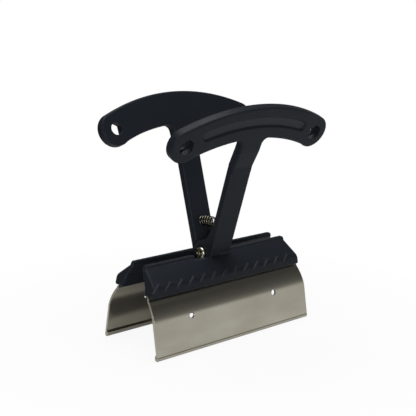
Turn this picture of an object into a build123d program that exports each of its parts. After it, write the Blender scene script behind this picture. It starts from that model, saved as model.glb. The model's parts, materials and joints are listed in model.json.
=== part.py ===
from build123d import *
import math
import os

# Keycap puller: two identical T-handled mouldings crossing at a pivot screw, a spring that holds them
# open, and a sheet-steel blade in each jaw. Millimetres, floor at z = 0, jaws along X, front is -Y.

# Pivot
pivot_z = 30.5
ear_r = 4.95
ear_clearance = 0.3
lap_gap = 0.2
shank_r = 1.25
running_fit = 0.05
sink_r = 3.1
sink_depth = 0.4
head_r = 2.4
head_h = 1.5
head_dome_r = 0.8
head_gap = 0.05
cross_w = 0.8
cross_l = 2.8
cross_depth = 0.8
nut_across_flats = 5.0
nut_h = 2.0
thread_fit = 0.02
shank_past_nut = 0.4

# Handle: a round-edged grip plate on a leg that jogs inwards below the plate and steps in further down
grip_lean = 22.9
grip_y = 20.17
grip_z = 77.1
grip_t = 3.7
lobe_x = 30.85
lobe_r = 6.35
crown_r = 84.4
belly_r = 72.6
belly_top = 0.2
lobe_blend_r = 5.0
hang_hole_r = 2.35
hang_hex = 5.6
hang_web = 1.0
groove_w = 4.45
groove_below_crown = 5.8
groove_end_x = 22.9
groove_depth = 0.8
groove_taper = 45.0
leg_lean = 17.3
leg_y = 5.55
leg_w = 9.8
leg_t = 3.2
leg_blend_r = 2.2
leg_overlap = 2.0
edge_r = 0.8
leg_foot_z = 26.0
leg_step_z = 63.2
leg_step = 0.45
stub_low = -3.9
jog_top = -5.0
jog_out_z = 65.6
jog_in_z = 67.3
jog_r = 3.0
jog_top_r = 10.0
stop_gap = 0.3
lap_foot_z = 30.7

# Hood: the jaw's plastic top, a bent bar with tapered ends
hood_top_z = 31.7
hood_base_z = 21.45
hood_top_half = 34.5
hood_base_half = 37.2
hood_in_top_y = 2.9
hood_out_top_y = 4.2
hood_facet = (4.4, 30.5)
hood_knee = (11.5, 25.0)
hood_skirt_y = 11.35
hood_in_base_y = 6.8
hood_in_mid = (5.0, 26.8)
hood_in_high_z = 30.2
knee_r = 2.4
hood_edge_r = 0.6
hood_corner_r = 0.8
hood_end_r = 0.8
notch_z = 29.9
notch_far_x = 12.0
notch_corner_r = 1.2
web_low = (6.2, 25.2)
gusset_t = 2.5
gusset_foot = (-0.9, 35.3)
gusset_top_z = 42.2
gusset_sag = 0.6
rib_count = 13
rib_first_gap = 2.3
rib_last_gap = 7.7
rib_w = 0.55
rib_l = 4.0
rib_rise = 0.35
rib_root = 1.2
rib_slant = 52.0
rib_seat = (11.0, 25.1)
rib_facing = 30.0

# Blade: flange held in the hood, sloped shoulder, splayed web and a hem folded inwards
blade_half = 38.0
shoulder_half = 37.1
flange_half = 33.0
sheet = 0.8
flange_top = (7.5, 26.3)
blade_exit = (9.6, 20.9)
blade_bend = (13.4, 16.15)
blade_foot = (16.2, 1.4)
hem_h = 1.9
hem_foot_r = 0.7
hem_edge_r = 0.4
exit_bend_r = 1.0
main_bend_r = 15.0
taper_below_bend = 3.0
blade_hole_r = 1.1
blade_hole_x = 20.7
blade_hole_up = 0.8

# Spring between the legs, bowed square to both inner faces
spring_z = 41.25
spring_r = 1.75
wire = 0.5
spring_turns = 8.0
spring_end_gap = 0.05
spring_steps = 90
peg_r = 1.1
peg_l = 1.8

grip_sin = math.sin(math.radians(grip_lean))
grip_cos = math.cos(math.radians(grip_lean))
leg_sin = math.sin(math.radians(leg_lean))
leg_cos = math.cos(math.radians(leg_lean))
leg_half = leg_w / 2
lap = lap_gap / 2
ear_cut_r = ear_r + ear_clearance
bore_r = shank_r + running_fit
seat_x = leg_half - sink_depth
crown_mid = -math.sqrt((crown_r - lobe_r) ** 2 - lobe_x ** 2)
crown_tip = crown_r / (crown_r - lobe_r)
belly_mid = belly_top - belly_r
rib_first_x = hood_base_half - rib_first_gap
rib_pitch = (2 * hood_base_half - rib_first_gap - rib_last_gap) / (rib_count - 1)


def grip_at(s, d):
    """Front grip's side view: s up the plate from the hang holes, d outwards from its mid-plane."""
    return (-(grip_y + s * grip_sin + d * grip_cos), grip_z + s * grip_cos - d * grip_sin)


def leg_at(z, depth):
    """Front leg's side view: the point at height z, depth in from the leg's outer face."""
    return (-(leg_y + (z - pivot_z) * leg_sin / leg_cos - depth / leg_cos), z)


def front_plane(place, sine, cosine, out=1):
    """Plane through a side-view point of the front handle, facing outwards or towards the other leg."""
    return Plane(origin=(0, *place), x_dir=(out, 0, 0), z_dir=(0, -out * cosine, -out * sine))


def lobe_corner():
    """Point where the end lobe's circle leaves the grip's lower edge."""
    gap = math.hypot(lobe_x, belly_mid)
    along = (belly_r ** 2 - lobe_r ** 2 + gap ** 2) / (2 * gap)
    aside = math.sqrt(belly_r ** 2 - along ** 2)
    ux = lobe_x / gap
    uz = -belly_mid / gap
    return (along * ux - aside * uz, belly_mid + along * uz + aside * ux)


def near(vertices, x, y):
    """Vertices of a sketch at x or its mirror image, and at height y."""
    return [v for v in vertices if abs(abs(v.X) - x) < 0.05 and abs(v.Y - y) < 0.8]


def is_rim(edge):
    """Whether an edge runs round the grip plate or up the leg, rather than across its thickness or foot."""
    along = edge % 0.5
    through = along.dot(Vector(0, grip_cos, grip_sin))
    across = edge.geom_type == GeomType.LINE and abs(along.X) > 0.99
    return edge.center().Z > leg_foot_z + leg_t and abs(through) < 0.9 and not across


with BuildSketch(front_plane(grip_at(0, -grip_t / 2), grip_sin, grip_cos)) as grip_outline:
    corner = lobe_corner()
    tip = (lobe_x * crown_tip, crown_mid - crown_mid * crown_tip)
    with BuildLine():
        ThreePointArc((-tip[0], tip[1]), (0, crown_mid + crown_r), tip)
        ThreePointArc(tip, (lobe_x + lobe_r, 0), corner)
        ThreePointArc(corner, (0, belly_top), (-corner[0], corner[1]))
        ThreePointArc((-corner[0], corner[1]), (-lobe_x - lobe_r, 0), (-tip[0], tip[1]))
    make_face()
    with Locations((0, (leg_overlap + stub_low) / 2)):
        Rectangle(leg_w, leg_overlap - stub_low)
    fillet(near(grip_outline.vertices(), corner[0], corner[1]), lobe_blend_r)
    fillet(near(grip_outline.vertices(), leg_half, belly_top), leg_blend_r)

groove_r = crown_r - groove_below_crown
groove_turn = math.degrees(math.asin(groove_end_x / groove_r))
groove_arc = CenterArc((0, crown_mid), groove_r, 90 - groove_turn, 2 * groove_turn)
grip_face = front_plane(grip_at(0, grip_t / 2), grip_sin, grip_cos, out=-1)

with BuildSketch(Plane.YZ) as leg_side:
    with BuildLine():
        Polyline(
            leg_at(leg_foot_z, 0),
            leg_at(jog_out_z, 0),
            grip_at(jog_top, grip_t / 2),
            grip_at(leg_overlap, grip_t / 2),
            grip_at(leg_overlap, -grip_t / 2),
            grip_at(jog_top, -grip_t / 2),
            leg_at(jog_in_z, leg_t),
            leg_at(leg_foot_z, leg_t),
            close=True,
        )
    make_face()
    fillet([v for v in leg_side.vertices() if jog_out_z - 1 < v.Y < jog_in_z + 1], jog_r)
    fillet([v for v in leg_side.vertices() if abs(v.Y - grip_z - jog_top) < 1.5], jog_top_r)

with BuildSketch(Plane.YZ) as hood_side:
    with BuildLine():
        Polyline(
            (hood_in_top_y, hood_top_z),
            (hood_out_top_y, hood_top_z),
            hood_facet,
            hood_knee,
            (hood_skirt_y, hood_base_z),
            (hood_in_base_y, hood_base_z),
            hood_in_mid,
            (hood_in_top_y, hood_in_high_z),
            close=True,
        )
    make_face()
    fillet(near(hood_side.vertices(), hood_knee[0], hood_knee[1]), knee_r)
    fillet(near(hood_side.vertices(), hood_skirt_y, hood_base_z), hood_edge_r)

with BuildSketch(Plane.YZ) as blade_side:
    run = math.hypot(blade_foot[0] - blade_bend[0], blade_foot[1] - blade_bend[1])
    splay_sin = (blade_foot[0] - blade_bend[0]) / run
    splay_cos = (blade_bend[1] - blade_foot[1]) / run
    with BuildLine() as blade_path:
        Polyline(flange_top, blade_exit, blade_bend, blade_foot)
        for bend, radius in ((blade_exit, exit_bend_r), (blade_bend, main_bend_r)):
            fillet(near(blade_path.vertices(), bend[0], bend[1]), radius)
        offset(amount=sheet, side=Side.RIGHT)
    make_face()
    hem_out = blade_foot[0] + blade_foot[1] * splay_sin / splay_cos
    hem_in = hem_out - 2 * sheet / splay_cos
    hem_top = (hem_in - hem_h * splay_sin, hem_h * splay_cos)
    with BuildLine():
        Polyline(
            (hem_out, 0),
            (hem_in, 0),
            hem_top,
            (hem_top[0] + 2 * sheet * splay_cos, hem_top[1] + 2 * sheet * splay_sin),
            close=True,
        )
    make_face()
    fillet(near(blade_side.vertices(), hem_out, 0) + near(blade_side.vertices(), hem_in, 0), hem_foot_r)
    fillet(near(blade_side.vertices(), hem_top[0], hem_top[1]), hem_edge_r)

with BuildPart() as blade_back:
    extrude(blade_side.sketch, amount=blade_half, both=True)
    with BuildSketch(Plane.XZ):
        with BuildLine():
            Polyline(
                (blade_half, blade_bend[1] - taper_below_bend),
                (shoulder_half, hood_base_z),
                (flange_half, hood_base_z),
                (flange_half, hood_top_z),
                (2 * blade_half, hood_top_z),
                (2 * blade_half, blade_bend[1] - taper_below_bend),
                close=True,
            )
        make_face()
        mirror(about=Plane.YZ)
    extrude(amount=2 * blade_foot[0], both=True, mode=Mode.SUBTRACT)
    hole_y = blade_bend[0] + (1 - blade_hole_up) * (blade_foot[0] - blade_bend[0])
    hole_z = blade_bend[1] + (1 - blade_hole_up) * (blade_foot[1] - blade_bend[1])
    with BuildSketch(Plane(origin=(0, hole_y, hole_z), x_dir=(1, 0, 0), z_dir=(0, splay_cos, splay_sin))):
        with Locations((-blade_hole_x, 0), (blade_hole_x, 0)):
            Circle(blade_hole_r)
    extrude(amount=2 * sheet, both=True, mode=Mode.SUBTRACT)

with BuildPart() as hood:
    extrude(hood_side.sketch, amount=hood_base_half, both=True)
    with BuildSketch(Plane.XZ) as hood_front:
        with BuildLine():
            Polyline(
                (-hood_base_half, hood_base_z),
                (-hood_top_half, hood_top_z),
                (hood_top_half, hood_top_z),
                (hood_base_half, hood_base_z),
                close=True,
            )
        make_face()
        fillet(near(hood_front.vertices(), hood_top_half, hood_top_z), hood_corner_r)
    extrude(amount=2 * hood_skirt_y, both=True, mode=Mode.INTERSECT)
    ends = hood.faces().filter_by(lambda face: abs(face.normal_at().X) > 0.9)
    fillet([e for e in ends.edges() if e.center().Y > hood_in_mid[0] and e.center().Z > hood_base_z + sheet], hood_end_r)
    for step in range(rib_count):
        seat = Plane(
            origin=(rib_first_x - step * rib_pitch, rib_seat[0], rib_seat[1]),
            x_dir=(-1, 0, 0),
            z_dir=(0, math.cos(math.radians(rib_facing)), math.sin(math.radians(rib_facing))),
        )
        with BuildSketch(seat.offset(-rib_root)):
            Rectangle(rib_w, rib_l, rotation=-rib_slant)
        extrude(amount=rib_root + rib_rise)
    with BuildSketch(Plane.XZ):
        with Locations(((notch_far_x - lap) / 2, (notch_z + hood_top_z + 1) / 2)):
            notch = Rectangle(notch_far_x + lap, hood_top_z + 1 - notch_z)
        fillet(notch.vertices().sort_by(Axis.Y)[:2].sort_by(Axis.X)[-1], notch_corner_r)
    extrude(amount=-2 * hood_skirt_y, mode=Mode.SUBTRACT)
    with BuildSketch(Plane.YZ.offset(-lap)):
        with Locations((0, pivot_z)):
            Circle(ear_cut_r)
    extrude(amount=lap + leg_half + ear_clearance, mode=Mode.SUBTRACT)
    add(blade_back.part, mode=Mode.SUBTRACT)

with BuildPart() as handle_front:
    extrude(leg_side.sketch, amount=leg_half, both=True)
    extrude(grip_outline.sketch, amount=grip_t)
    plates = handle_front.faces().sort_by(SortBy.AREA)[-2:].edges()
    flanks = handle_front.faces().filter_by(Axis.X).edges()
    fillet([e for e in dict.fromkeys(plates + flanks) if is_rim(e)], edge_r)
    with BuildSketch(grip_face):
        SlotArc(groove_arc, groove_w)
    extrude(amount=groove_depth, taper=groove_taper, mode=Mode.SUBTRACT)
    with BuildSketch(grip_face):
        with Locations((-lobe_x, 0), (lobe_x, 0)):
            RegularPolygon(hang_hex / 2, 6, major_radius=False, rotation=30)
    extrude(amount=grip_t - hang_web, mode=Mode.SUBTRACT)
    with BuildSketch(grip_face):
        with Locations((-lobe_x, 0), (lobe_x, 0)):
            Circle(hang_hole_r)
    extrude(amount=2 * grip_t, mode=Mode.SUBTRACT)
    with BuildSketch(Plane.YZ):
        with BuildLine():
            Polyline(
                leg_at(leg_foot_z, leg_step),
                leg_at(leg_step_z, leg_step),
                leg_at(leg_step_z, -leg_step),
                leg_at(leg_foot_z, -leg_step),
                close=True,
            )
        make_face()
    extrude(amount=leg_w, both=True, mode=Mode.SUBTRACT)
    with BuildSketch(Plane.XZ):
        with Locations((0, notch_z + stop_gap)):
            Rectangle(2 * leg_w, leg_w, align=(Align.CENTER, Align.MAX))
        with Locations((-lap, lap_foot_z)):
            Rectangle(2 * leg_w, leg_w, align=(Align.MIN, Align.MAX))
    extrude(amount=2 * hood_skirt_y, both=True, mode=Mode.SUBTRACT)
    with BuildSketch(Plane.YZ.offset(-lap)):
        with Locations((0, pivot_z)):
            Circle(ear_cut_r)
    extrude(amount=leg_w, mode=Mode.SUBTRACT)
    with BuildSketch(Plane.YZ.offset(-leg_half)):
        with Locations((0, pivot_z)):
            Circle(ear_r)
        with BuildLine():
            Polyline((0, pivot_z - ear_r), (0, pivot_z), hood_facet, web_low, close=True)
        make_face()
    extrude(amount=leg_half - lap)
    with BuildSketch(Plane.YZ.offset(-leg_half)):
        gusset_top = leg_at(gusset_top_z, leg_t)
        chord = math.hypot(gusset_top[0] - gusset_foot[0], gusset_top[1] - gusset_foot[1])
        sag_y = (gusset_foot[0] + gusset_top[0]) / 2 - gusset_sag * (gusset_top[1] - gusset_foot[1]) / chord
        sag_z = (gusset_foot[1] + gusset_top[1]) / 2 + gusset_sag * (gusset_top[0] - gusset_foot[0]) / chord
        with BuildLine():
            ThreePointArc(gusset_foot, (sag_y, sag_z), gusset_top)
            Polyline(gusset_top, leg_at(pivot_z, leg_t / 2), (0, pivot_z), gusset_foot)
        make_face()
    extrude(amount=gusset_t)
    with BuildSketch(front_plane(leg_at(spring_z, leg_t), leg_sin, leg_cos, out=-1)):
        Circle(peg_r)
    extrude(amount=peg_l)
    add(hood.part)
    with BuildSketch(Plane.YZ):
        with Locations((0, pivot_z)):
            Circle(bore_r)
    extrude(amount=2 * leg_w, both=True, mode=Mode.SUBTRACT)
    with BuildSketch(Plane.YZ.offset(-seat_x)):
        with Locations((0, pivot_z)):
            Circle(sink_r)
    extrude(amount=-2 * sink_depth, mode=Mode.SUBTRACT)

with BuildPart() as handle_back:
    add(handle_front.part, rotation=(0, 0, 180))

with BuildPart() as blade_front:
    add(blade_back.part, rotation=(0, 0, 180))

with BuildPart() as pivot_screw:
    with BuildSketch(Plane.YZ.offset(-seat_x - head_gap)):
        with Locations((0, pivot_z)):
            Circle(head_r)
    extrude(amount=-head_h)
    fillet(pivot_screw.edges().group_by(Axis.X)[0], head_dome_r)
    with BuildSketch(Plane.YZ.offset(-seat_x - head_gap - head_h)):
        with Locations((0, pivot_z)):
            Rectangle(cross_w, cross_l)
            Rectangle(cross_l, cross_w)
    extrude(amount=cross_depth, mode=Mode.SUBTRACT)
    with BuildSketch(Plane.YZ.offset(-seat_x - head_gap)):
        with Locations((0, pivot_z)):
            Circle(shank_r)
    extrude(amount=2 * seat_x + head_gap + nut_h + shank_past_nut)

with BuildPart() as pivot_nut:
    with BuildSketch(Plane.YZ.offset(seat_x)):
        with Locations((0, pivot_z)):
            RegularPolygon(nut_across_flats / 2, 6, major_radius=False, rotation=30)
            Circle(shank_r + thread_fit, mode=Mode.SUBTRACT)
    extrude(amount=nut_h)


def coil_point(share):
    """Point on the spring's wire, share of the way from the front leg to the back one."""
    bow_r = -leg_at(spring_z, leg_t)[0] / leg_sin
    half_turn = math.radians(leg_lean) - (wire / 2 + spring_end_gap) / bow_r
    bow = (2 * share - 1) * half_turn
    turn = 2 * math.pi * spring_turns * share
    reach = bow_r + spring_r * math.cos(turn)
    return (spring_r * math.sin(turn), reach * math.sin(bow), spring_z - bow_r * leg_cos + reach * math.cos(bow))


with BuildPart() as spring:
    with BuildLine() as coil:
        Spline(*[coil_point(step / spring_steps) for step in range(spring_steps + 1)])
    with BuildSketch(Plane(origin=coil.line @ 0, z_dir=coil.line % 0)):
        Circle(wire / 2)
    sweep(path=coil.line)

os.makedirs("parts", exist_ok=True)
pieces = {
    "handle_front": handle_front,
    "handle_back": handle_back,
    "blade_front": blade_front,
    "blade_back": blade_back,
    "pivot_screw": pivot_screw,
    "pivot_nut": pivot_nut,
    "spring": spring,
}
for name, piece in pieces.items():
    piece.part.label = name
    export_step(piece.part, f"parts/{name}.step")
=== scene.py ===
"""Keycap puller: finishes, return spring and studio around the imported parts."""
import json
import math

import bpy
from bpy.props import FloatProperty, FloatVectorProperty, PointerProperty
from mathutils import Matrix, Vector

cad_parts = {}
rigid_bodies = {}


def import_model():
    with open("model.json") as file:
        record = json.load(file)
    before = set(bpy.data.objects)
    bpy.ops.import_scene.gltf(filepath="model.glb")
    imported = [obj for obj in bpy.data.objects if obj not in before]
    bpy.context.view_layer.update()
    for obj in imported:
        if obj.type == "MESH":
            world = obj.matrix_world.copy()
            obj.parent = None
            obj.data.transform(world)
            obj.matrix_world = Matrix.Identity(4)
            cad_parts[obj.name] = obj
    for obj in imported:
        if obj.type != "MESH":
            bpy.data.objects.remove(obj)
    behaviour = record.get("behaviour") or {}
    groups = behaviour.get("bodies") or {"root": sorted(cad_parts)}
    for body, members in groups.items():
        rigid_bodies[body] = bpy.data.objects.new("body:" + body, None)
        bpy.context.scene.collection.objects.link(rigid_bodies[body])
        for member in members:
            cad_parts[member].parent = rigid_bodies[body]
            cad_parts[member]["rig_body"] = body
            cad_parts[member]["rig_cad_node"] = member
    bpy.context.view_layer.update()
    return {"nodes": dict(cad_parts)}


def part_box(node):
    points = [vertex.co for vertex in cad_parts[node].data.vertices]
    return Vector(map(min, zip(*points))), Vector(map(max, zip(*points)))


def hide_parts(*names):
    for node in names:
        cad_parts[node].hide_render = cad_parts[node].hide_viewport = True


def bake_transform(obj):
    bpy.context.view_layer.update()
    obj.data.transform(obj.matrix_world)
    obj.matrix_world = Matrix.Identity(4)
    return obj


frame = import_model()
spring_low, spring_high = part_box("spring")

bl_info = {
    "name": "Keycap puller",
    "version": (1, 0, 0),
    "blender": (4, 5, 0),
    "location": "View3D > Sidebar > Keycap puller",
    "description": "Finishes a sprung keycap puller and sets it in a small white studio",
    "category": "Object",
}

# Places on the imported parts, in metres. The groove floor's level is measured square to the leaning grip.
GRIP_LEAN = math.radians(22.9)
GROOVE_LEVEL = -0.010372
GROOVE_LOW = 0.072
HOOD_TOP = 0.0305
HOOD_FADE = 0.003
WELD = 0.000002

# Stretch of the patterns, in cells per metre along each axis
FLOW_CELLS = (60.0, 60.0, 18.0)
HANDLED_CELLS = 45.0
ROLLED_CELLS = 28.0
STAIN_CELLS = (40.0, 90.0, 90.0)
SCUFF_CELLS = (900.0, 160.0, 160.0)
SCUFF_TURN = (0.0, 0.6, 0.3)
TURNING_CELLS = (2600.0, 2600.0, 2600.0)
PLATE_CELLS = (700.0, 700.0, 700.0)
FIBRE_CELLS = 900.0

# Relief of the fine patterns, in metres
GRAIN_DEPTH = 0.00003
ROLLED_DEPTH = 0.000003
TURNING_DEPTH = 0.000008

# Spans over which a mask fades in, from none to full: the middle of a noise, and widths in metres
NOISE_SPAN = (0.3, 0.7)
GROOVE_FADE = (0.0003, 0.0001)
FOLD_FADE = (0.00028, 0.00008)
RIM_FADE = (0.00040, 0.00015)

# Studio: the dim side of the room, the greys up the room's walls by height, the patch of floor between the
# blades that reflections see painted dark as a painted shadow, and the lamps
FAR_LEFT = (-0.7, 0.7, 0.0)
ROOM_GREYS = ((0.0, 0.62), (0.05, 0.58), (0.11, 0.33), (0.20, 0.15), (0.34, 0.10), (0.62, 0.05))
ROOM_WARMTH = (1.0, 0.995, 0.98)
CEILING = (0.30, 0.30, 0.30)
DIM_WALL = (0.05, 0.05, 0.05)
WHITE = (1.0, 1.0, 1.0)
SHADE_PATCH_HALF = (0.040, 0.0112)
SHADE_PATCH_SHIFT = 0.0015
TOP_PLACE = (0.0, 0.05, 0.65)
TOP_SIZE = 0.5
FILL_PLACE = (-0.40, -0.43, 0.17)
FILL_SIZE = 0.3
SENSOR = 36.0
NEAR_CLIP = 0.01


class PlasticFinish(bpy.types.PropertyGroup):
    """Satin black moulding plastic of the handles."""

    colour: FloatVectorProperty(
        name="Colour", description="Colour of the moulded plastic", subtype="COLOR",
        default=(0.0158, 0.0194, 0.0262), min=0.0, max=1.0)
    streak_colour: FloatVectorProperty(
        name="Flow colour", description="Paler tone where the plastic flowed in the mould", subtype="COLOR",
        default=(0.0174, 0.0211, 0.0280), min=0.0, max=1.0)
    # Paler edge tone: partly wear, partly a painted highlight that brings out the ribs and the hood's edges.
    rub_and_highlight_colour: FloatVectorProperty(
        name="Rubbed colour", description="Greyer tone along handled edges", subtype="COLOR",
        default=(0.1250, 0.1300, 0.1400), min=0.0, max=1.0)
    # Groove floor tone: a painted sheen, paler where the floors would catch the white floor's reflection.
    groove_sheen_colour: FloatVectorProperty(
        name="Groove colour", description="Greyer tone of the finger grooves, rubbed in use", subtype="COLOR",
        default=(0.0330, 0.0375, 0.0450), min=0.0, max=1.0)
    roughness: FloatProperty(
        name="Roughness", description="Mean roughness of the satin surface", subtype="FACTOR",
        default=0.38, min=0.0, max=1.0)
    grain: FloatProperty(
        name="Grain", description="Size of the mould's fine grain", unit="LENGTH", default=0.00035)
    edge: FloatProperty(
        name="Edge radius", description="Soft radius seen along the moulded edges", unit="LENGTH",
        default=0.00045)


class SteelFinish(bpy.types.PropertyGroup):
    """Bright rolled sheet of the blades."""

    colour: FloatVectorProperty(
        name="Colour", description="Colour of the bright sheet", subtype="COLOR",
        default=(0.62, 0.592, 0.505), min=0.0, max=1.0)
    stain_colour: FloatVectorProperty(
        name="Stain colour", description="Warmer tone of faint oil stains", subtype="COLOR",
        default=(0.53, 0.495, 0.405), min=0.0, max=1.0)
    shear_colour: FloatVectorProperty(
        name="Sheared edge colour", description="Brighter tone along the sheared edges", subtype="COLOR",
        default=(0.78, 0.77, 0.74), min=0.0, max=1.0)
    roughness: FloatProperty(
        name="Roughness", description="Mean roughness of the rolled face", subtype="FACTOR",
        default=0.16, min=0.0, max=1.0)
    line: FloatProperty(
        name="Rolling lines", description="Width of the fine rolling lines", unit="LENGTH", default=0.00012)
    edge: FloatProperty(
        name="Edge radius", description="Soft radius along the sheared edges", unit="LENGTH", default=0.00018)
    fold_height: FloatProperty(
        name="Fold height", description="Height of the dark line where the foot is folded", unit="LENGTH",
        default=0.0013)
    # Painted shade: a dark line along the fold, standing in for its dark reflection, and a contact shade
    # along the foot's lower rim.
    fold_and_rim_shade_colour: FloatVectorProperty(
        name="Fold colour", description="Tone of the fold line and of the foot's lower rim", subtype="COLOR",
        default=(0.17, 0.155, 0.12), min=0.0, max=1.0)


class BrightFinish(bpy.types.PropertyGroup):
    """Plated fasteners and drawn spring wire."""

    plate_colour: FloatVectorProperty(
        name="Plating colour", description="Colour of the screw's plating", subtype="COLOR",
        default=(0.74, 0.68, 0.56), min=0.0, max=1.0)
    wire_colour: FloatVectorProperty(
        name="Wire colour", description="Colour of the spring wire", subtype="COLOR",
        default=(0.25, 0.23, 0.165), min=0.0, max=1.0)
    roughness: FloatProperty(
        name="Roughness", description="Mean roughness of plating and wire", subtype="FACTOR",
        default=0.27, min=0.0, max=1.0)


class StudioSettings(bpy.types.PropertyGroup):
    """White studio and the viewing angle."""

    floor_colour: FloatVectorProperty(
        name="Floor colour", description="Colour of the paper floor", subtype="COLOR",
        default=(0.86, 0.86, 0.85), min=0.0, max=1.0)
    floor_half: FloatProperty(
        name="Floor half width", description="Half the floor's side", unit="LENGTH", default=3.0)
    azimuth: FloatProperty(
        name="Azimuth", description="Camera's turn about the vertical", subtype="ANGLE",
        default=math.radians(-40.965))
    elevation: FloatProperty(
        name="Elevation", description="Camera's height angle", subtype="ANGLE", default=math.radians(13.426))
    roll: FloatProperty(
        name="Roll", description="Camera's roll about its own line of sight", subtype="ANGLE",
        default=math.radians(1.248))
    distance: FloatProperty(
        name="Distance", description="Camera to target", unit="LENGTH", default=0.34)
    target: FloatVectorProperty(
        name="Target", description="Point in the middle of the picture", subtype="XYZ", unit="LENGTH",
        default=(-0.002104, 0.0, 0.047638))
    lens: FloatProperty(
        name="Lens", description="Focal length in millimetres on a 36 mm sensor", default=77.94, min=1.0)
    lamp_power: FloatProperty(
        name="Lamp power", description="Power of the overhead softbox", unit="POWER", default=3.0)
    fill_power: FloatProperty(
        name="Fill power", description="Power of the smaller softbox at the front", unit="POWER", default=0.9)


def wipe_material(name):
    """A node material with only its Principled shader and output."""
    material = bpy.data.materials.new(name)
    material.use_nodes = True
    nodes = material.node_tree.nodes
    nodes.clear()
    output = nodes.new("ShaderNodeOutputMaterial")
    shader = nodes.new("ShaderNodeBsdfPrincipled")
    output.location = (700, 0)
    shader.location = (400, 0)
    material.node_tree.links.new(shader.outputs["BSDF"], output.inputs["Surface"])
    return material, shader, output


class Wiring:
    """Adds and joins the nodes of one material or world tree."""

    def __init__(self, tree):
        self.tree = tree
        self.column = -1400

    def node(self, kind, **settings):
        """A new node, set beside the one before it."""
        made = self.tree.nodes.new(kind)
        made.location = (self.column, 0)
        self.column += 40
        for key, value in settings.items():
            setattr(made, key, value)
        return made

    def join(self, source, target):
        """A link from an output to an input."""
        self.tree.links.new(source, target)

    def split(self, vector):
        """The X, Y and Z outputs of a vector."""
        made = self.node("ShaderNodeSeparateXYZ")
        self.join(vector, made.inputs["Vector"])
        return made.outputs

    def place(self, scale=(1.0, 1.0, 1.0), turn=(0.0, 0.0, 0.0)):
        """The piece's own coordinates, stretched and turned."""
        coordinates = self.node("ShaderNodeTexCoord")
        mapping = self.node("ShaderNodeMapping")
        mapping.inputs["Scale"].default_value = scale
        mapping.inputs["Rotation"].default_value = turn
        self.join(coordinates.outputs["Object"], mapping.inputs["Vector"])
        return mapping.outputs["Vector"]

    def noise(self, vector, scale=1.0, detail=3.0, roughness=0.55):
        """A grey cloud pattern over the piece."""
        made = self.node("ShaderNodeTexNoise")
        made.inputs["Scale"].default_value = scale
        made.inputs["Detail"].default_value = detail
        made.inputs["Roughness"].default_value = roughness
        self.join(vector, made.inputs["Vector"])
        return made.outputs["Fac"]

    def spread(self, value, span, onto=(0.0, 1.0)):
        """Stretches a value from one span on to another."""
        made = self.node("ShaderNodeMapRange")
        for key, number in zip(("From Min", "From Max", "To Min", "To Max"), (*span, *onto)):
            made.inputs[key].default_value = number
        self.join(value, made.inputs["Value"])
        return made.outputs["Result"]

    def mix(self, factor, first, second):
        """Mixes two colours, each a fixed colour or another node's output."""
        made = self.node("ShaderNodeMix", data_type="RGBA")
        self.join(factor, made.inputs["Factor"])
        for socket, colour in ((made.inputs["A"], first), (made.inputs["B"], second)):
            if isinstance(colour, bpy.types.NodeSocket):
                self.join(colour, socket)
            else:
                socket.default_value = (*colour, 1.0)
        return made.outputs["Result"]

    def math(self, operation, first, second=None):
        """One step of arithmetic on an output and a number or another output."""
        made = self.node("ShaderNodeMath", operation=operation)
        for socket, value in zip(made.inputs, (first, second)):
            if isinstance(value, bpy.types.NodeSocket):
                self.join(value, socket)
            elif value is not None:
                socket.default_value = value
        return made.outputs["Value"]

    def vector_math(self, operation, first, second=None):
        """One step of vector arithmetic on an output and a fixed vector or another output."""
        made = self.node("ShaderNodeVectorMath", operation=operation)
        self.join(first, made.inputs[0])
        if isinstance(second, bpy.types.NodeSocket):
            self.join(second, made.inputs[1])
        elif second is not None:
            made.inputs[1].default_value = second
        return made.outputs["Value" if operation in ("DOT_PRODUCT", "LENGTH") else "Vector"]

    def soft_edge(self, radius, samples=4):
        """A rounded normal along sharp edges, and a mask that is 1 on those edges."""
        bevel = self.node("ShaderNodeBevel", samples=samples)
        bevel.inputs["Radius"].default_value = radius
        geometry = self.node("ShaderNodeNewGeometry")
        facing = self.vector_math("DOT_PRODUCT", bevel.outputs["Normal"], geometry.outputs["Normal"])
        return bevel.outputs["Normal"], self.spread(facing, (0.995, 0.86))

    def bump(self, height, normal, distance, strength):
        """Fine relief on top of a given normal."""
        made = self.node("ShaderNodeBump")
        made.inputs["Distance"].default_value = distance
        made.inputs["Strength"].default_value = strength
        self.join(height, made.inputs["Height"])
        self.join(normal, made.inputs["Normal"])
        return made.outputs["Normal"]


def across_grip(wiring, parts):
    """How far a place or a normal reaches outwards, square to the leaning grip on its own side."""
    outward = wiring.math("MULTIPLY", wiring.math("ABSOLUTE", parts["Y"]), math.cos(GRIP_LEAN))
    return wiring.math("SUBTRACT", outward, wiring.math("MULTIPLY", parts["Z"], math.sin(GRIP_LEAN)))


def groove_floor(wiring):
    """1 on the floor of each finger groove, which lies at one level under the grip's leaning face."""
    coordinates = wiring.node("ShaderNodeTexCoord")
    place = wiring.split(coordinates.outputs["Object"])
    facing = wiring.split(coordinates.outputs["Normal"])
    high = wiring.math("GREATER_THAN", place["Z"], GROOVE_LOW)
    off_floor = wiring.math("ABSOLUTE", wiring.math("SUBTRACT", across_grip(wiring, place), GROOVE_LEVEL))
    floor = wiring.math("MULTIPLY", high, wiring.spread(off_floor, GROOVE_FADE))
    square_on = wiring.spread(across_grip(wiring, facing), (0.93, 0.99))
    return wiring.math("MULTIPLY", floor, square_on)


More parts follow.
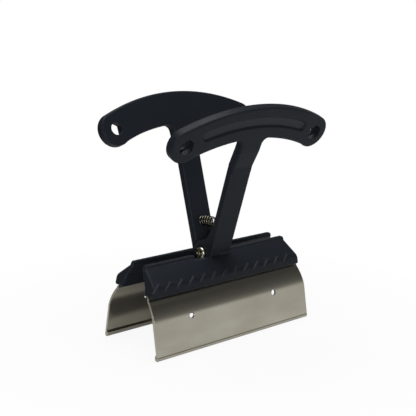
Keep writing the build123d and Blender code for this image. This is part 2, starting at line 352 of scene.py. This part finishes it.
def satin_plastic(finish):
    """Black moulded plastic with a fine grain, faint flow marks, paler edges that are partly wear and partly
    painted highlight, and groove floors painted paler as a sheen.
    """
    material, shader, _ = wipe_material("satin_black_plastic")
    wiring = Wiring(material.node_tree)
    vector = wiring.place()
    flow = wiring.noise(wiring.place(scale=FLOW_CELLS), detail=4.0)
    handled = wiring.noise(vector, HANDLED_CELLS, detail=2.0)
    grain = wiring.noise(vector, 1.0 / finish.grain, detail=2.0)
    normal, edge = wiring.soft_edge(finish.edge, samples=6)
    tone = wiring.mix(wiring.spread(flow, (0.35, 0.70)), finish.colour, finish.streak_colour)
    # Groove floors painted paler: a painted sheen.
    tone = wiring.mix(groove_floor(wiring), tone, finish.groove_sheen_colour)
    # Paler edges, strongest below the hood top where the ribs are: partly wear, partly painted highlight.
    patchy = wiring.spread(handled, (0.35, 0.65), (0.3, 0.6))
    on_hood = wiring.spread(wiring.split(vector)["Z"], (HOOD_TOP, HOOD_TOP + HOOD_FADE), (1.0, 0.25))
    rub_and_painted_highlight = wiring.math("MULTIPLY", edge, wiring.math("MULTIPLY", patchy, on_hood))
    wiring.join(wiring.mix(rub_and_painted_highlight, tone, finish.rub_and_highlight_colour), shader.inputs["Base Color"])
    worn = wiring.spread(handled, NOISE_SPAN, (-0.05, 0.05))
    grained = wiring.spread(grain, NOISE_SPAN, (finish.roughness - 0.04, finish.roughness + 0.04))
    wiring.join(wiring.math("ADD", worn, grained), shader.inputs["Roughness"])
    wiring.join(wiring.bump(grain, normal, GRAIN_DEPTH, strength=0.35), shader.inputs["Normal"])
    shader.inputs["Specular IOR Level"].default_value = 0.1
    return material


def fold_and_rim_shade(wiring, height):
    """1 on the outer face along the line where the foot is folded, and along its lower rim, where painted
    shade goes.
    """
    coordinates = wiring.node("ShaderNodeTexCoord")
    place = wiring.split(coordinates.outputs["Object"])
    facing = wiring.split(coordinates.outputs["Normal"])
    outer = wiring.math("GREATER_THAN", wiring.math("MULTIPLY", place["Y"], facing["Y"]), 0.0)
    off_line = wiring.math("ABSOLUTE", wiring.math("SUBTRACT", place["Z"], height))
    line = wiring.spread(off_line, FOLD_FADE)
    rim = wiring.spread(place["Z"], RIM_FADE)
    return wiring.math("MULTIPLY", outer, wiring.math("MAXIMUM", line, rim))


def rolled_steel(finish):
    """Bright sheet with fine rolling lines along the jaws, faint oil stains, and painted shade: a dark line
    along the foot's fold and a dark lower rim.
    """
    material, shader, _ = wipe_material("bright_rolled_steel")
    wiring = Wiring(material.node_tree)
    lines = wiring.noise(wiring.place(scale=(ROLLED_CELLS, 1.0 / finish.line, 1.0 / finish.line)))
    cloud = wiring.noise(wiring.place(scale=STAIN_CELLS))
    scuff = wiring.noise(wiring.place(scale=SCUFF_CELLS, turn=SCUFF_TURN), detail=5.0, roughness=0.7)
    normal, edge = wiring.soft_edge(finish.edge)
    tone = wiring.mix(wiring.spread(cloud, (0.35, 0.70)), finish.colour, finish.stain_colour)
    # Painted shade along the fold and the foot's lower rim.
    tone = wiring.mix(fold_and_rim_shade(wiring, finish.fold_height), tone, finish.fold_and_rim_shade_colour)
    tone = wiring.mix(wiring.math("MULTIPLY", edge, 0.35), tone, finish.shear_colour)
    wiring.join(tone, shader.inputs["Base Color"])
    rolled = wiring.spread(lines, NOISE_SPAN, (finish.roughness - 0.03, finish.roughness + 0.03))
    stained = wiring.spread(cloud, NOISE_SPAN, (-0.03, 0.04))
    scuffed = wiring.spread(scuff, (0.62, 0.80), (0.0, 0.06))
    rough = wiring.math("ADD", rolled, wiring.math("ADD", stained, scuffed))
    wiring.join(rough, shader.inputs["Roughness"])
    wiring.join(wiring.bump(lines, normal, ROLLED_DEPTH, strength=0.03), shader.inputs["Normal"])
    shader.inputs["Metallic"].default_value = 1.0
    return material


def coil_inside(wiring, axis_height):
    """1 on the side of the wire that faces the coil's own axis."""
    coordinates = wiring.node("ShaderNodeTexCoord")
    off_axis = wiring.vector_math("SUBTRACT", coordinates.outputs["Object"], (0.0, 0.0, axis_height))
    across = wiring.vector_math("MULTIPLY", off_axis, (1.0, 0.0, 1.0))
    outward = wiring.vector_math("NORMALIZE", across)
    facing = wiring.vector_math("DOT_PRODUCT", outward, coordinates.outputs["Normal"])
    return wiring.spread(facing, (0.60, 0.10))


def bright_plate(name, colour, finish, edge_radius, hollow_shade_reach, hollow_shade_tone, coil_height=None):
    """Plated or drawn bright metal with fine turning marks, and painted shade: darker in its hollows and, on
    a coil, on the wire's side that faces the coil's axis.
    """
    material, shader, _ = wipe_material(name)
    wiring = Wiring(material.node_tree)
    marks = wiring.noise(wiring.place(scale=TURNING_CELLS), detail=4.0)
    cloud = wiring.noise(wiring.place(scale=PLATE_CELLS), detail=2.0)
    normal, _ = wiring.soft_edge(edge_radius)
    hollow = wiring.node("ShaderNodeAmbientOcclusion", samples=12)
    hollow.inputs["Distance"].default_value = hollow_shade_reach
    clouded = tuple(value * 0.82 for value in colour)
    hollow_shade_colour = tuple(value * hollow_shade_tone for value in colour)
    tone = wiring.mix(wiring.spread(cloud, (0.30, 0.75), (0.0, 0.2)), colour, clouded)
    # Painted shade: occlusion darkens the hollows, and on a coil the wire's inner side.
    shade = wiring.spread(hollow.outputs["AO"], (0.80, 0.40))
    if coil_height is not None:
        shade = wiring.math("MAXIMUM", shade, coil_inside(wiring, coil_height))
    wiring.join(wiring.mix(shade, tone, hollow_shade_colour), shader.inputs["Base Color"])
    rough = wiring.spread(marks, NOISE_SPAN, (finish.roughness - 0.08, finish.roughness + 0.08))
    wiring.join(rough, shader.inputs["Roughness"])
    wiring.join(wiring.bump(marks, normal, TURNING_DEPTH, strength=0.3), shader.inputs["Normal"])
    shader.inputs["Metallic"].default_value = 1.0
    return material


def dress(obj, material):
    """Gives a piece one finish all over."""
    obj.data.materials.clear()
    obj.data.materials.append(material)


class PULLER_OT_handles(bpy.types.Operator):
    """Finish the two moulded handles"""

    bl_idname = "puller.handles"
    bl_label = "Handles"

    def execute(self, context):
        plastic = satin_plastic(context.scene.puller_plastic)
        for name in ("handle_front", "handle_back"):
            dress(frame["nodes"][name], plastic)
        return {"FINISHED"}


class PULLER_OT_blades(bpy.types.Operator):
    """Finish the two sheet-steel blades"""

    bl_idname = "puller.blades"
    bl_label = "Blades"

    def execute(self, context):
        steel = rolled_steel(context.scene.puller_steel)
        for name in ("blade_front", "blade_back"):
            dress(frame["nodes"][name], steel)
        return {"FINISHED"}


class PULLER_OT_pivot(bpy.types.Operator):
    """Finish the pivot screw and its nut"""

    bl_idname = "puller.pivot"
    bl_label = "Pivot screw and nut"

    def execute(self, context):
        bright = context.scene.puller_bright
        # The screw's cross recess and the nut's hollows get painted shade.
        plate = bright_plate("bright_plating", bright.plate_colour, bright,
                             edge_radius=0.00012, hollow_shade_reach=0.0006, hollow_shade_tone=0.25)
        for name in ("pivot_screw", "pivot_nut"):
            dress(frame["nodes"][name], plate)
        return {"FINISHED"}


class PULLER_OT_spring(bpy.types.Operator):
    """Make the return spring between the legs, a smooth copy of the imported coil"""

    bl_idname = "puller.spring"
    bl_label = "Return spring"

    def execute(self, context):
        bright = context.scene.puller_bright
        solid = frame["nodes"]["spring"]
        bpy.ops.object.select_all(action="DESELECT")
        solid.select_set(True)
        context.view_layer.objects.active = solid
        bpy.ops.object.duplicate(linked=False)
        spring = context.view_layer.objects.active
        bpy.ops.object.parent_clear(type="CLEAR_KEEP_TRANSFORM")
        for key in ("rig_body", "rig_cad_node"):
            del spring[key]
        spring.name = "return_spring"
        bpy.ops.object.mode_set(mode="EDIT")
        bpy.ops.mesh.select_all(action="SELECT")
        bpy.ops.mesh.remove_doubles(threshold=WELD)
        bpy.ops.object.mode_set(mode="OBJECT")
        bpy.ops.object.shade_smooth_by_angle(angle=math.radians(40))
        middle = (spring_low + spring_high) / 2
        # Strong painted shade in the coil's tight gaps and on the wire's inner side.
        wire = bright_plate("drawn_wire", bright.wire_colour, bright,
                            edge_radius=0.00004, hollow_shade_reach=0.0030, hollow_shade_tone=0.06, coil_height=middle.z)
        dress(spring, wire)
        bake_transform(spring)
        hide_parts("spring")
        return {"FINISHED"}


def between_blades(wiring, vector):
    """0 on the floor between the blades, rising to 1 outside them."""
    parts = wiring.split(vector)
    along = wiring.math("DIVIDE", wiring.math("ABSOLUTE", parts["X"]), SHADE_PATCH_HALF[0])
    shifted = wiring.math("ABSOLUTE", wiring.math("ADD", parts["Y"], SHADE_PATCH_SHIFT))
    across = wiring.math("DIVIDE", shifted, SHADE_PATCH_HALF[1])
    return wiring.spread(wiring.math("MAXIMUM", along, across), (0.7, 1.05))


def paper_floor(studio):
    """White paper that looks white in the picture and still takes a soft shadow; in reflections it glows,
    dimmer towards the far left, and is painted dark between the blades as a painted shadow.
    """
    material, shader, output = wipe_material("white_paper")
    wiring = Wiring(material.node_tree)
    vector = wiring.place()
    fibre = wiring.noise(vector, FIBRE_CELLS)
    shade = tuple(value * 0.985 for value in studio.floor_colour)
    wiring.join(wiring.mix(fibre, studio.floor_colour, shade), shader.inputs["Base Color"])
    shader.inputs["Roughness"].default_value = 0.9
    shader.inputs["Specular IOR Level"].default_value = 0.1
    path = wiring.node("ShaderNodeLightPath").outputs
    mirrored = wiring.math("MAXIMUM", path["Is Glossy Ray"], path["Is Transmission Ray"])
    away = wiring.vector_math("LENGTH", vector)
    outside = between_blades(wiring, vector)
    white = wiring.spread(away, (0.05, 0.13), (0.92, 1.0))
    pale = wiring.spread(away, (0.05, 0.16), (0.2, 1.0))
    pale = wiring.math("MAXIMUM", pale, wiring.math("SUBTRACT", 0.85, outside))
    seen = wiring.math("MAXIMUM", wiring.math("MULTIPLY", path["Is Camera Ray"], white),
                       wiring.math("MULTIPLY", mirrored, pale))
    # Reflections see the floor glow dimmer towards the far left and painted dark between the blades: a
    # painted shadow.
    behind = wiring.vector_math("DOT_PRODUCT", vector, FAR_LEFT)
    room = wiring.spread(behind, (-0.05, 0.20), (0.55, 0.06))
    room = wiring.math("MULTIPLY", room, wiring.spread(outside, (0.0, 1.0), (0.05, 1.0)))
    glow = wiring.node("ShaderNodeEmission")
    glow.inputs["Color"].default_value = (*WHITE, 1.0)
    wiring.join(wiring.math("MAXIMUM", path["Is Camera Ray"], room), glow.inputs["Strength"])
    blend = wiring.node("ShaderNodeMixShader")
    wiring.join(seen, blend.inputs["Fac"])
    wiring.join(shader.outputs["BSDF"], blend.inputs[1])
    wiring.join(glow.outputs["Emission"], blend.inputs[2])
    wiring.join(blend.outputs["Shader"], output.inputs["Surface"])
    return material


def studio_world(scene):
    """A room that is pale at the horizon and dim overhead, white where the camera sees it."""
    world = bpy.data.worlds.new("studio")
    scene.world = world
    world.use_nodes = True
    world.node_tree.nodes.clear()
    wiring = Wiring(world.node_tree)
    direction = wiring.node("ShaderNodeTexCoord").outputs["Generated"]
    ramp = wiring.node("ShaderNodeValToRGB")
    stops = ramp.color_ramp.elements
    for height, grey in ROOM_GREYS:
        stop = stops.new(height) if height else stops[0]
        stop.color = (*(grey * tint for tint in ROOM_WARMTH), 1.0)
    stops[-1].color = (*CEILING, 1.0)
    wiring.join(wiring.split(direction)["Z"], ramp.inputs["Fac"])
    far_left = wiring.vector_math("DOT_PRODUCT", direction, FAR_LEFT)
    room = wiring.mix(wiring.spread(far_left, (-0.1, 0.7), (0.0, 0.9)), ramp.outputs["Color"], DIM_WALL)
    path = wiring.node("ShaderNodeLightPath")
    background = wiring.node("ShaderNodeBackground")
    background.inputs["Strength"].default_value = 1.0
    wiring.join(wiring.mix(path.outputs["Is Camera Ray"], room, WHITE), background.inputs["Color"])
    output = wiring.node("ShaderNodeOutputWorld")
    wiring.join(background.outputs["Background"], output.inputs["Surface"])


def softbox(name, place, aim, size, power):
    """A square lamp that faces a point."""
    lamp = bpy.data.lights.new(name, "AREA")
    lamp.shape = "SQUARE"
    lamp.size = size
    lamp.energy = power
    obj = bpy.data.objects.new(name, lamp)
    obj.location = place
    obj.rotation_euler = (Vector(aim) - Vector(place)).to_track_quat("-Z", "Y").to_euler()
    bpy.context.scene.collection.objects.link(obj)


def set_camera(scene, studio):
    """A camera at the studio's angle, roll and distance from its target."""
    turn, rise = studio.azimuth, studio.elevation
    back = Vector((math.sin(turn) * math.cos(rise), -math.cos(turn) * math.cos(rise), math.sin(rise)))
    level = Vector((math.cos(turn), math.sin(turn), 0.0))
    upright = back.cross(level)
    right = level * math.cos(studio.roll) + upright * math.sin(studio.roll)
    up = upright * math.cos(studio.roll) - level * math.sin(studio.roll)
    lens = bpy.data.cameras.new("camera")
    lens.lens = studio.lens
    lens.sensor_width = SENSOR
    lens.clip_start = NEAR_CLIP
    camera = bpy.data.objects.new("camera", lens)
    scene.collection.objects.link(camera)
    spot = Matrix.Translation(Vector(studio.target) + back * studio.distance)
    camera.matrix_world = spot @ Matrix((right, up, back)).transposed().to_4x4()
    scene.camera = camera


class PULLER_OT_stage(bpy.types.Operator):
    """Lay the floor, hang the lamps and set the camera"""

    bl_idname = "puller.stage"
    bl_label = "Studio"

    def execute(self, context):
        scene = context.scene
        studio = scene.puller_studio
        bpy.ops.object.select_all(action="DESELECT")
        bpy.ops.mesh.primitive_plane_add(size=2 * studio.floor_half)
        floor = context.view_layer.objects.active
        floor.name = "paper_floor"
        dress(floor, paper_floor(studio))
        studio_world(scene)
        softbox("top_softbox", TOP_PLACE, studio.target, TOP_SIZE, studio.lamp_power)
        softbox("front_fill", FILL_PLACE, studio.target, FILL_SIZE, studio.fill_power)
        set_camera(scene, studio)
        scene.view_settings.view_transform = "Standard"
        return {"FINISHED"}


class PULLER_PT_sidebar(bpy.types.Panel):
    """Lists the finishes and the steps that build the puller"""

    bl_idname = "PULLER_PT_sidebar"
    bl_label = "Keycap puller"
    bl_space_type = "VIEW_3D"
    bl_region_type = "UI"
    bl_category = "Keycap puller"

    def draw(self, context):
        for step in STEPS:
            self.layout.operator(step.bl_idname)
        for name, _ in GROUPS:
            settings = getattr(context.scene, name)
            for key in settings.__annotations__:
                self.layout.prop(settings, key)


GROUPS = (
    ("puller_plastic", PlasticFinish),
    ("puller_steel", SteelFinish),
    ("puller_bright", BrightFinish),
    ("puller_studio", StudioSettings),
)
STEPS = (
    PULLER_OT_handles,
    PULLER_OT_blades,
    PULLER_OT_pivot,
    PULLER_OT_spring,
    PULLER_OT_stage,
)
CLASSES = (*(group for _, group in GROUPS), *STEPS, PULLER_PT_sidebar)


def register():
    for cls in CLASSES:
        bpy.utils.register_class(cls)
    for name, group in GROUPS:
        setattr(bpy.types.Scene, name, PointerProperty(type=group))


def unregister():
    for name, _ in GROUPS:
        delattr(bpy.types.Scene, name)
    for cls in reversed(CLASSES):
        bpy.utils.unregister_class(cls)


def main():
    register()
    bpy.ops.puller.handles()
    bpy.ops.puller.blades()
    bpy.ops.puller.pivot()
    bpy.ops.puller.spring()
    bpy.ops.puller.stage()


if __name__ == "__main__":
    main()
